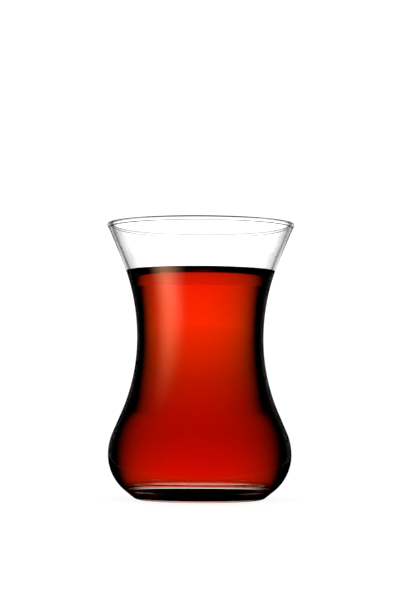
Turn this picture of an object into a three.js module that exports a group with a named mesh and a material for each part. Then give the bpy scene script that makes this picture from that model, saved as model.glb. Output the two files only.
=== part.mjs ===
// Turkish tea glass, filled with black tea.
// A tulip-shaped glass of clear pressed glass: a flat foot, a round belly, a
// narrow waist to hold it by and a flared mouth with a fire-polished lip.
// Millimetres, +Z up. The origin is the centre of the flat face under the foot.

import * as THREE from 'three';

// Outside of the glass. A "bend" is the radius of a round stretch of the outline.
const glassHeight = 84;
const lipRadius = 28.55;
const lipBend = 0.75;
const waistRadius = 19.25;
const waistHeight = 48.8;
const waistUpperBend = 63;
const waistLowerBend = 57;
const bellyRadius = 27.87;
const bellyHeight = 13.55;
const bellyUpperBend = 17;
const bellyLowerBend = 14;
const footRadius = 18.3;
const footBend = 3;

// Walls: thin at the waist, stouter round the belly, thick under the tea. The wall draws in
// a little under the round lip.
const waistWall = 1.2;
const neckBend = 1;
const bellyWall = 1.6;
const floorThickness = 6;
const floorBend = 7.5;

// The tea, poured to a finger's width under the lip. It clings to the wall above its level.
const teaLevel = 68;
const meniscusRise = 1.8;
const meniscusBend = 6;
const teaGap = 0.3;

// How finely the round shapes are cut into flats.
const turnSegments = 60;
const chordError = 0.05;
const fewestSteps = 4;

const straightDown = -Math.PI / 2;
const straightUp = Math.PI / 2;

// A round stretch of an outline, in the plane of radius and height. The surface
// swells away from the axis where side is +1 and draws in towards it where side is -1.
function round(radius, height, bend, side) {
  return { radius, height, bend, side };
}

// The point of a round where the direction away from the axis has this angle.
function pointOn(stretch, angle) {
  const reach = stretch.side * stretch.bend;
  return new THREE.Vector2(
    stretch.radius + reach * Math.cos(angle),
    stretch.height + reach * Math.sin(angle),
  );
}

// The angle of the straight line that touches two rounds, from the lower to the upper one.
function sharedAngle(lower, upper) {
  const acrossRadius = upper.radius - lower.radius;
  const acrossHeight = upper.height - lower.height;
  const distance = Math.hypot(acrossRadius, acrossHeight);
  const lean = (lower.side * lower.bend - upper.side * upper.bend) / distance;
  const angle = Math.atan2(acrossHeight, acrossRadius) - Math.acos(THREE.MathUtils.clamp(lean, -1, 1));
  return Math.atan2(Math.sin(angle), Math.cos(angle));
}

// The outline that runs up along a row of rounds and the lines between them.
function outlineAlong(rounds, firstAngle, lastAngle) {
  const points = [];
  let from = firstAngle;
  rounds.forEach((stretch, index) => {
    const isLast = index === rounds.length - 1;
    const to = isLast ? lastAngle : sharedAngle(stretch, rounds[index + 1]);
    const stepAngle = 2 * Math.acos(1 - chordError / stretch.bend);
    const steps = Math.max(fewestSteps, Math.ceil(Math.abs(to - from) / stepAngle));
    for (let step = 0; step <= steps; step += 1) {
      points.push(pointOn(stretch, from + ((to - from) * step) / steps));
    }
    from = to;
  });
  return points;
}

// Leaves out each point that falls on the one before, where two rounds meet without a line.
function withoutRepeats(points) {
  const smallestStep = 0.01;
  return points.filter((point, index) => {
    return index === 0 || point.distanceTo(points[index - 1]) > smallestStep;
  });
}

// Turns an outline that starts and ends on the axis into a solid that stands along +Z.
function turned(points) {
  const geometry = new THREE.LatheGeometry(withoutRepeats(points), turnSegments);
  geometry.rotateX(Math.PI / 2);
  return geometry;
}

const lipCentreRadius = lipRadius - lipBend;
const lipCentreHeight = glassHeight - lipBend;

// The flare's round and the lip's, on the outside where side is +1 and in the hollow where it
// is -1, with the small round between them that draws the wall in under the lip.
function flareAndLip(flareBend, side) {
  const flare = round(waistRadius + waistUpperBend, waistHeight, flareBend, -1);
  const slimLip = round(lipCentreRadius, lipCentreHeight, waistWall / 2, side);
  const angle = sharedAngle(flare, slimLip);
  const across = waistWall / 2 + neckBend;
  const down = Math.sqrt((lipBend + neckBend) ** 2 - across ** 2);
  const neckRadius = lipCentreRadius + side * across * Math.cos(angle) + down * Math.sin(angle);
  const neckHeight = lipCentreHeight + side * across * Math.sin(angle) - down * Math.cos(angle);
  return [
    flare,
    round(neckRadius, neckHeight, neckBend, -side),
    round(lipCentreRadius, lipCentreHeight, lipBend, side),
  ];
}

function outsideRounds() {
  return [
    round(footRadius, footBend, footBend, 1),
    round(bellyRadius - bellyLowerBend, bellyHeight, bellyLowerBend, 1),
    round(bellyRadius - bellyUpperBend, bellyHeight, bellyUpperBend, 1),
    round(waistRadius + waistLowerBend, waistHeight, waistLowerBend, -1),
    ...flareAndLip(waistUpperBend, 1),
  ];
}

// The rounds of the hollow up to the flare, drawn in from the glass by a gap.
function hollowRounds(gap) {
  const floorCentreRadius = bellyRadius - bellyWall - floorBend;
  const floorCentreHeight = floorThickness + floorBend;
  return [
    round(floorCentreRadius, floorCentreHeight, floorBend - gap, 1),
    round(bellyRadius - bellyUpperBend, bellyHeight, bellyUpperBend - bellyWall - gap, 1),
    round(waistRadius + waistLowerBend, waistHeight, waistLowerBend + waistWall + gap, -1),
    round(waistRadius + waistUpperBend, waistHeight, waistUpperBend + waistWall + gap, -1),
  ];
}

// One closed wall: up the outside, over the lip, down the inside and across the floor.
function glassGeometry() {
  const outside = outlineAlong(outsideRounds(), straightDown, straightUp);
  const hollow = [...hollowRounds(0).slice(0, -1), ...flareAndLip(waistUpperBend + waistWall, -1)];
  const inside = outlineAlong(hollow, straightDown, straightDown);
  return turned([
    new THREE.Vector2(0, 0),
    ...outside,
    ...inside.reverse(),
    new THREE.Vector2(0, floorThickness),
  ]);
}

// The tea fills the hollow up to its level, and its edge curves up against the wall.
function teaGeometry() {
  const rounds = hollowRounds(teaGap);
  const wall = rounds[rounds.length - 1];
  const edgeHeight = teaLevel + meniscusRise;
  const edgeAngle = -Math.asin((edgeHeight - wall.height) / wall.bend);
  const side = outlineAlong(rounds, straightDown, edgeAngle);

  const edge = side[side.length - 1];
  const meniscusAngle = Math.acos(1 - meniscusRise / meniscusBend);
  const meniscusCentreRadius = edge.x - meniscusBend * Math.sin(meniscusAngle);
  const meniscus = outlineAlong(
    [round(meniscusCentreRadius, teaLevel + meniscusBend, meniscusBend, 1)],
    straightDown + meniscusAngle,
    straightDown,
  );
  return turned([
    new THREE.Vector2(0, floorThickness + teaGap),
    ...side,
    ...meniscus,
    new THREE.Vector2(0, teaLevel),
  ]);
}

function glassMesh() {
  const clearGlass = new THREE.MeshStandardMaterial({
    color: 0xeef1f4,
    roughness: 0.04,
    metalness: 0,
    transparent: true,
    opacity: 0.3,
  });
  const mesh = new THREE.Mesh(glassGeometry(), clearGlass);
  mesh.name = 'glass';
  return mesh;
}

function teaMesh() {
  const blackTea = new THREE.MeshStandardMaterial({ color: 0xb01c06, roughness: 0.05, metalness: 0 });
  const mesh = new THREE.Mesh(teaGeometry(), blackTea);
  mesh.name = 'tea';
  return mesh;
}

const teaGlass = new THREE.Group();
teaGlass.add(glassMesh());
teaGlass.add(teaMesh());

export default teaGlass;
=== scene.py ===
import math

import bmesh
import bpy
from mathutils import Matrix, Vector


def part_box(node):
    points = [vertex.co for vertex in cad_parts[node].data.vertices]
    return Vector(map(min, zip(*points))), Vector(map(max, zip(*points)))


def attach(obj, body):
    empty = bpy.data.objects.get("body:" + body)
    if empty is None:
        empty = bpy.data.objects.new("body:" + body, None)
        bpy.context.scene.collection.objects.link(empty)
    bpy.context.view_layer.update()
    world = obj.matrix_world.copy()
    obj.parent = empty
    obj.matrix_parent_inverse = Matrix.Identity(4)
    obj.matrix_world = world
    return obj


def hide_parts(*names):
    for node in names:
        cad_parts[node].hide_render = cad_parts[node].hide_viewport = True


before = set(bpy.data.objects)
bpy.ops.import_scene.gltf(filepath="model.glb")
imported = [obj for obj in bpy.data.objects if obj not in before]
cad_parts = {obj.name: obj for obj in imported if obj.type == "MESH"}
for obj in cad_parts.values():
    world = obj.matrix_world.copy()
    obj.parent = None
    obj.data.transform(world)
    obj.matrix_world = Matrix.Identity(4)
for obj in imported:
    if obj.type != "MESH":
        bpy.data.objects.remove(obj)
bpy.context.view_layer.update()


# The glass.
# A tulip tea glass of clear soda-lime glass, pressed in a mould in one piece and then
# fire-polished, which leaves every edge soft, the lip round and the walls faintly uneven.

glass_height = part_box("glass")[1].z
lip_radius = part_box("glass")[1].x
lip_bend = 0.00075
waist_radius = 0.01925
waist_height = 0.0488
waist_upper_bend = 0.063
waist_lower_bend = 0.057
belly_radius = 0.02787
belly_height = 0.01355
belly_upper_bend = 0.017
belly_lower_bend = 0.014
foot_radius = 0.0183
foot_bend = 0.003
waist_wall = 0.0012
neck_bend = 0.001
belly_wall = 0.0016
floor_thickness = 0.006
floor_bend = 0.0075
turn_steps = 240
chord_error = 0.000002

straight_down = -math.pi / 2
straight_up = math.pi / 2


def round_stretch(radius, height, bend, side):
    """A round stretch of an outline: it swells outward where side is 1 and draws in where side is -1."""
    return {"centre": Vector((radius, 0, height)), "bend": bend, "side": side}


def point_on(stretch, angle):
    """The point of a round stretch where the direction away from the axis has this angle."""
    out = Vector((math.cos(angle), 0, math.sin(angle)))
    return stretch["centre"] + out * stretch["side"] * stretch["bend"]


def shared_angle(lower, upper):
    """The angle of the straight line that touches two round stretches."""
    across = upper["centre"] - lower["centre"]
    lean = (lower["side"] * lower["bend"] - upper["side"] * upper["bend"]) / across.length
    angle = math.atan2(across.z, across.x) - math.acos(max(-1, min(1, lean)))
    return math.atan2(math.sin(angle), math.cos(angle))


def line_to(outline, end, place):
    """Draws a straight line on from the outline's end, and gives back the new end."""
    new_end = bmesh.ops.extrude_vert_indiv(outline, verts=[end])["verts"][0]
    new_end.co = place
    return new_end


def line_along(outline, end, stretches, first, last):
    """Draws the outline on along a row of round stretches and the lines that touch them."""
    start = first
    for stretch, following in zip(stretches, [*stretches[1:], None]):
        stop = shared_angle(stretch, following) if following else last
        finest = 2 * math.acos(1 - chord_error / stretch["bend"])
        steps = max(1, math.ceil(abs(stop - start) / finest))
        end = line_to(outline, end, point_on(stretch, start))
        arc = bmesh.ops.spin(outline, geom=[end], cent=stretch["centre"], axis=(0, -1, 0),
                             angle=stop - start, steps=steps)
        end = arc["geom_last"][0]
        start = stop
    return end


def turned_piece(name, outline):
    """Turns an outline that starts and ends on the axis into a closed piece with smooth faces."""
    bmesh.ops.remove_doubles(outline, verts=outline.verts, dist=chord_error)
    bmesh.ops.spin(outline, geom=outline.verts[:] + outline.edges[:], cent=(0, 0, 0), axis=(0, 0, 1),
                   angle=2 * math.pi, steps=turn_steps, use_merge=True)
    # The outline's two ends stay on the axis, so all their copies are merged into one point each.
    bmesh.ops.remove_doubles(outline, verts=outline.verts, dist=chord_error)
    bmesh.ops.recalc_face_normals(outline, faces=outline.faces)
    for face in outline.faces:
        face.smooth = True
    mesh = bpy.data.meshes.new(name)
    outline.to_mesh(mesh)
    outline.free()
    piece = bpy.data.objects.new(name, mesh)
    bpy.context.scene.collection.objects.link(piece)
    return piece


def flare_and_lip(flare_bend, side):
    """The flare, the small round that draws the wall in, and the lip: outside (1) or in the hollow (-1)."""
    lip_centre = Vector((lip_radius - lip_bend, 0, glass_height - lip_bend))
    flare = round_stretch(waist_radius + waist_upper_bend, waist_height, flare_bend, -1)
    slim_lip = round_stretch(lip_centre.x, lip_centre.z, waist_wall / 2, side)
    angle = shared_angle(flare, slim_lip)
    across = waist_wall / 2 + neck_bend
    down = math.sqrt((lip_bend + neck_bend) ** 2 - across ** 2)
    out_of_wall = Vector((math.cos(angle), 0, math.sin(angle)))
    down_wall = Vector((math.sin(angle), 0, -math.cos(angle)))
    neck = lip_centre + out_of_wall * side * across + down_wall * down
    return [
        flare,
        round_stretch(neck.x, neck.z, neck_bend, -side),
        round_stretch(lip_centre.x, lip_centre.z, lip_bend, side),
    ]


def outside_stretches():
    """The glass's outside from the foot up over the belly and the waist to the lip."""
    return [
        round_stretch(foot_radius, foot_bend, foot_bend, 1),
        round_stretch(belly_radius - belly_lower_bend, belly_height, belly_lower_bend, 1),
        round_stretch(belly_radius - belly_upper_bend, belly_height, belly_upper_bend, 1),
        round_stretch(waist_radius + waist_lower_bend, waist_height, waist_lower_bend, -1),
        *flare_and_lip(waist_upper_bend, 1),
    ]


def hollow_stretches(depth):
    """The hollow from its floor up to the flare, sunk into the wall by a depth."""
    floor_centre = belly_radius - belly_wall - floor_bend
    hollow_belly_bend = belly_upper_bend - belly_wall + depth
    hollow_lower_bend = waist_lower_bend + waist_wall - depth
    hollow_upper_bend = waist_upper_bend + waist_wall - depth
    return [
        round_stretch(floor_centre, floor_thickness + floor_bend, floor_bend + depth, 1),
        round_stretch(belly_radius - belly_upper_bend, belly_height, hollow_belly_bend, 1),
        round_stretch(waist_radius + waist_lower_bend, waist_height, hollow_lower_bend, -1),
        round_stretch(waist_radius + waist_upper_bend, waist_height, hollow_upper_bend, -1),
    ]


def linear(hex_colour):
    """An sRGB hex colour as linear red, green, blue and alpha."""
    channels = [int(hex_colour[start:start + 2], 16) / 255 for start in (1, 3, 5)]
    straight = [c / 12.92 if c <= 0.04045 else ((c + 0.055) / 1.055) ** 2.4 for c in channels]
    return (*straight, 1)


def add_node(owner, kind, settings, links=()):
    """Adds a node to a material or the world, sets its values and links other nodes to its sockets."""
    node = owner.node_tree.nodes.new(kind)
    for key, value in settings.items():
        if isinstance(key, int) or key in node.inputs:
            node.inputs[key].default_value = value
        else:
            setattr(node, key, value)
    for socket, source, output in links:
        owner.node_tree.links.new(source.outputs[output], node.inputs[socket])
    return node


def empty_material(name):
    material = bpy.data.materials.new(name)
    material.use_nodes = True
    material.node_tree.nodes.clear()
    return material


def clear_glass():
    """Soda-lime glass: water-clear, very smooth, and next to no mirror where the tea wets it."""
    # Pressing leaves ripples a few thousandths of a millimetre high, which bend the highlights.
    ripple_width = 0.009
    ripple_height = 0.000004
    material = empty_material("clear_soda_lime_glass")
    wetness = add_node(material, "ShaderNodeAttribute", {"attribute_name": "wetness"})
    mirroring = add_node(material, "ShaderNodeMapRange", {"To Min": 1.0, "To Max": 0.0},
                         [("Value", wetness, "Fac")])
    place = add_node(material, "ShaderNodeTexCoord", {})
    ripple = add_node(material, "ShaderNodeTexNoise", {"Scale": 1 / ripple_width, "Detail": 1.0},
                      [("Vector", place, "Object")])
    bump = add_node(material, "ShaderNodeBump", {"Strength": 1.0, "Distance": ripple_height},
                    [("Height", ripple, "Fac")])
    surface = add_node(material, "ShaderNodeBsdfPrincipled", {
        "Base Color": linear("#FFFFFF"), "Roughness": 0.0, "IOR": 1.52, "Transmission Weight": 1.0,
    }, [("Normal", bump, "Normal"), ("Specular Tint", mirroring, "Result")])
    tint = add_node(material, "ShaderNodeVolumeAbsorption", {"Color": linear("#E8EAEE"), "Density": 8.0})
    add_node(material, "ShaderNodeOutputMaterial", {},
             [("Surface", surface, "BSDF"), ("Volume", tint, "Volume")])
    return material


def glass_piece():
    """One closed wall: the outside and the hollow, each drawn up from the axis and joined at the lip."""
    outline = bmesh.new()
    foot_middle = outline.verts.new((0, 0, 0))
    outside_top = line_along(outline, foot_middle, outside_stretches(), straight_down, straight_up)
    floor_middle = outline.verts.new((0, 0, floor_thickness))
    hollow = [*hollow_stretches(0)[:-1], *flare_and_lip(waist_upper_bend + waist_wall, -1)]
    hollow_top = line_along(outline, floor_middle, hollow, straight_down, straight_down)
    bmesh.ops.pointmerge(outline, verts=[outside_top, hollow_top], merge_co=hollow_top.co)
    return turned_piece("glass_wall", outline)


def mark_wet_faces(piece):
    """Marks the faces of the hollow's side that stand against the tea, up to just under its edge."""
    wet_height = 0.0697
    least_facing = 0.7
    wetness = piece.data.attributes.new("wetness", "FLOAT", "FACE")
    for face in piece.data.polygons:
        faces_axis = face.normal.xy.dot(face.center.xy) < -least_facing * face.center.xy.length
        wetness.data[face.index].value = 1.0 if faces_axis and face.center.z < wet_height else 0.0


glass = glass_piece()
mark_wet_faces(glass)
glass.data.materials.append(clear_glass())
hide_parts("glass")
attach(glass, "root")


# The tea.
# Strong black tea, clear and bright red where it is thin and near black where it is thick.
# It fills the hollow just into the wall, and its edge is drawn up against the glass.

tea_level = 0.068
meniscus_rise = 0.0018
meniscus_bend = 0.006
tea_depth_in_wall = 0.0001


def black_tea():
    """Brewed tea: a clear liquid that takes out blue at once, green soon and red slowly."""
    material = empty_material("black_tea")
    surface = add_node(material, "ShaderNodeBsdfPrincipled", {
        "Base Color": linear("#FFFFFF"), "Roughness": 0.0, "IOR": 1.333, "Transmission Weight": 1.0,
    })
    steep = add_node(material, "ShaderNodeVolumeAbsorption", {"Color": linear("#F9C628"), "Density": 270.0})
    add_node(material, "ShaderNodeOutputMaterial", {},
             [("Surface", surface, "BSDF"), ("Volume", steep, "Volume")])
    return material


def tea_piece():
    """The tea's body: up the hollow's side from the floor, and back to the axis over its surface."""
    stretches = hollow_stretches(tea_depth_in_wall)
    wall = stretches[-1]
    edge_height = tea_level + meniscus_rise
    edge_angle = -math.asin((edge_height - wall["centre"].z) / wall["bend"])
    outline = bmesh.new()
    end = outline.verts.new((0, 0, floor_thickness - tea_depth_in_wall))
    end = line_along(outline, end, stretches, straight_down, edge_angle)
    meniscus_angle = math.acos(1 - meniscus_rise / meniscus_bend)
    meniscus_centre = end.co.x - meniscus_bend * math.sin(meniscus_angle)
    meniscus = round_stretch(meniscus_centre, tea_level + meniscus_bend, meniscus_bend, 1)
    end = line_along(outline, end, [meniscus], straight_down + meniscus_angle, straight_down)
    line_to(outline, end, (0, 0, tea_level))
    return turned_piece("tea_liquid", outline)


tea = tea_piece()
tea.data.materials.append(black_tea())
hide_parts("tea")
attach(tea, "root")


# The camera.
# A long lens near the middle height of the glass, turned up slightly to frame it.

picture_height_px = 601
glass_foot_px = 498.8
metres_per_px = 0.0003046
camera_distance = 0.5787
camera_height = 0.0344
camera_roll = math.radians(0.3)
sensor_size = 36.0

picture_height = picture_height_px * metres_per_px
aim_height = (glass_foot_px - picture_height_px / 2) * metres_per_px
camera_data = bpy.data.cameras.new("camera")
camera_data.sensor_width = sensor_size
camera_data.lens = sensor_size * camera_distance / picture_height
camera = bpy.data.objects.new("camera", camera_data)
bpy.context.scene.collection.objects.link(camera)
camera.location = (0, -camera_distance, camera_height)
look = Vector((0, 0, aim_height)) - camera.location
camera.rotation_euler = look.to_track_quat("-Z", "Y").to_euler()
camera.rotation_euler.rotate_axis("Z", camera_roll)
bpy.context.scene.camera = camera


# The studio.
# A pale floor in a white surround. A stand that turns with the camera carries a glowing backdrop,
# dark beyond its soft sides, and at the front left a small warm reflector over a black flag.

backdrop_half_width = 0.78
backdrop_bottom = (1.0, -1.3)
backdrop_top = (1.0, 0.52)
backdrop_bearing = math.radians(1.5)
reflector_half_width = 0.042
reflector_bottom = (0.06, 0.034)
reflector_top = (0.06, 0.065)
reflector_bearing = math.radians(-131)
flag_half_width = 0.06
flag_near_edge = (0.032, 0.034)
flag_far_edge = (0.062, 0.0335)
floor_reach = 2.5
floor_glow_share = 0.85

stand = bpy.data.objects.new("stand", None)
bpy.context.scene.collection.objects.link(stand)
follow = stand.constraints.new("COPY_ROTATION")
follow.target = camera
follow.use_x = False
follow.use_y = False


def stand_board(name, half_width, first_edge, second_edge, bearing, material):
    """A board across the stand between two level edges, each given as reach from the glass and height."""
    outline = bmesh.new()
    corners = [
        (-half_width, *first_edge),
        (half_width, *first_edge),
        (half_width, *second_edge),
        (-half_width, *second_edge),
    ]
    outline.faces.new([outline.verts.new(corner) for corner in corners])
    mesh = bpy.data.meshes.new(name)
    outline.to_mesh(mesh)
    outline.free()
    mesh.materials.append(material)
    board = bpy.data.objects.new(name, mesh)
    bpy.context.scene.collection.objects.link(board)
    board.parent = stand
    board.rotation_euler = (0, 0, -bearing)
    board.visible_camera = False
    board.visible_diffuse = False
    board.visible_shadow = False
    return board


def glow(name, half_width, low, high, rise_bend, fade_bend):
    """A light that fades out to both sides, and turns from a low glow into a high one with height."""
    material = empty_material(name)
    place = add_node(material, "ShaderNodeTexCoord", {})
    axes = add_node(material, "ShaderNodeSeparateXYZ", {}, [("Vector", place, "Object")])
    side = add_node(material, "ShaderNodeMath", {"operation": "ABSOLUTE"}, [(0, axes, "X")])
    fade = add_node(material, "ShaderNodeMapRange", {
        "interpolation_type": "SMOOTHSTEP", "From Max": half_width, "To Min": 1.0, "To Max": 0.0,
    }, [("Value", side, "Value")])
    soft_fade = add_node(material, "ShaderNodeMath", {"operation": "POWER", 1: fade_bend},
                         [(0, fade, "Result")])
    sink = add_node(material, "ShaderNodeMapRange", {
        "From Min": high["height"], "From Max": low["height"],
    }, [("Value", axes, "Z")])
    lowness = add_node(material, "ShaderNodeMath", {"operation": "POWER", 1: rise_bend},
                       [(0, sink, "Result")])
    level = add_node(material, "ShaderNodeMapRange", {
        "To Min": high["strength"], "To Max": low["strength"],
    }, [("Value", lowness, "Value")])
    strength = add_node(material, "ShaderNodeMath", {"operation": "MULTIPLY"},
                        [(0, soft_fade, "Value"), (1, level, "Result")])
    colour = add_node(material, "ShaderNodeMixRGB", {
        "Color1": linear(high["colour"]), "Color2": linear(low["colour"]),
    }, [("Fac", lowness, "Value")])
    light = add_node(material, "ShaderNodeEmission", {},
                     [("Color", colour, "Color"), ("Strength", strength, "Value")])
    add_node(material, "ShaderNodeOutputMaterial", {}, [("Surface", light, "Emission")])
    return material


def black_card():
    material = empty_material("black_card")
    surface = add_node(material, "ShaderNodeEmission", {"Strength": 0.0})
    add_node(material, "ShaderNodeOutputMaterial", {}, [("Surface", surface, "Emission")])
    return material


def pale_floor():
    """White paper that is lit from under as well, so that only a faint shade shows by the foot."""
    material = empty_material("pale_floor")
    paper = add_node(material, "ShaderNodeBsdfDiffuse", {"Color": linear("#F4F4F4")})
    light = add_node(material, "ShaderNodeEmission", {"Color": linear("#FFFFFF"), "Strength": 1.05})
    surface = add_node(material, "ShaderNodeMixShader", {"Fac": floor_glow_share},
                       [(1, paper, "BSDF"), (2, light, "Emission")])
    add_node(material, "ShaderNodeOutputMaterial", {}, [("Surface", surface, "Shader")])
    return material


backdrop_glow = glow("backdrop", backdrop_half_width,
                     low={"height": -0.15, "strength": 1.0, "colour": "#FFFFFF"},
                     high={"height": 0.13, "strength": 1.85, "colour": "#FFFFFF"},
                     rise_bend=0.6, fade_bend=1.0)
backdrop = stand_board("backdrop", backdrop_half_width, backdrop_bottom, backdrop_top,
                       backdrop_bearing, backdrop_glow)
backdrop.visible_glossy = False

reflector_glow = glow("reflector", reflector_half_width,
                      low={"height": 0.048, "strength": 6.5, "colour": "#FFB88C"},
                      high={"height": 0.06, "strength": 0.0, "colour": "#FFA860"},
                      rise_bend=3.2, fade_bend=2.0)
reflector = stand_board("reflector", reflector_half_width, reflector_bottom, reflector_top,
                        reflector_bearing, reflector_glow)
reflector.visible_transmission = False

flag = stand_board("flag_below_reflector", flag_half_width, flag_near_edge, flag_far_edge,
                   reflector_bearing, black_card())
flag.visible_transmission = False

floor_mesh = bpy.data.meshes.new("floor")
floor_outline = bmesh.new()
bmesh.ops.create_grid(floor_outline, x_segments=1, y_segments=1, size=floor_reach)
floor_outline.to_mesh(floor_mesh)
floor_outline.free()
floor_mesh.materials.append(pale_floor())
floor = bpy.data.objects.new("floor", floor_mesh)
bpy.context.scene.collection.objects.link(floor)
floor.visible_transmission = False
floor.visible_glossy = False

# The camera and the floor see a white surround. In the glass only the boards show.
world = bpy.data.worlds.new("surround")
bpy.context.scene.world = world
world.use_nodes = True
world.node_tree.nodes.clear()
path = add_node(world, "ShaderNodeLightPath", {})
seen = add_node(world, "ShaderNodeMath", {"operation": "MAXIMUM"},
                [(0, path, "Is Camera Ray"), (1, path, "Is Diffuse Ray")])
white = add_node(world, "ShaderNodeBackground", {"Color": linear("#FFFFFF"), "Strength": 1.1})
dark = add_node(world, "ShaderNodeBackground", {"Color": linear("#FFFFFF"), "Strength": 0.0})
mix = add_node(world, "ShaderNodeMixShader", {}, [
    (0, seen, "Value"), (1, dark, "Background"), (2, white, "Background"),
])
add_node(world, "ShaderNodeOutputWorld", {}, [("Surface", mix, "Shader")])

scene = bpy.context.scene
scene.view_settings.view_transform = "Standard"
scene.cycles.max_bounces = 32
scene.cycles.transmission_bounces = 32
scene.cycles.glossy_bounces = 16
scene.cycles.volume_bounces = 2
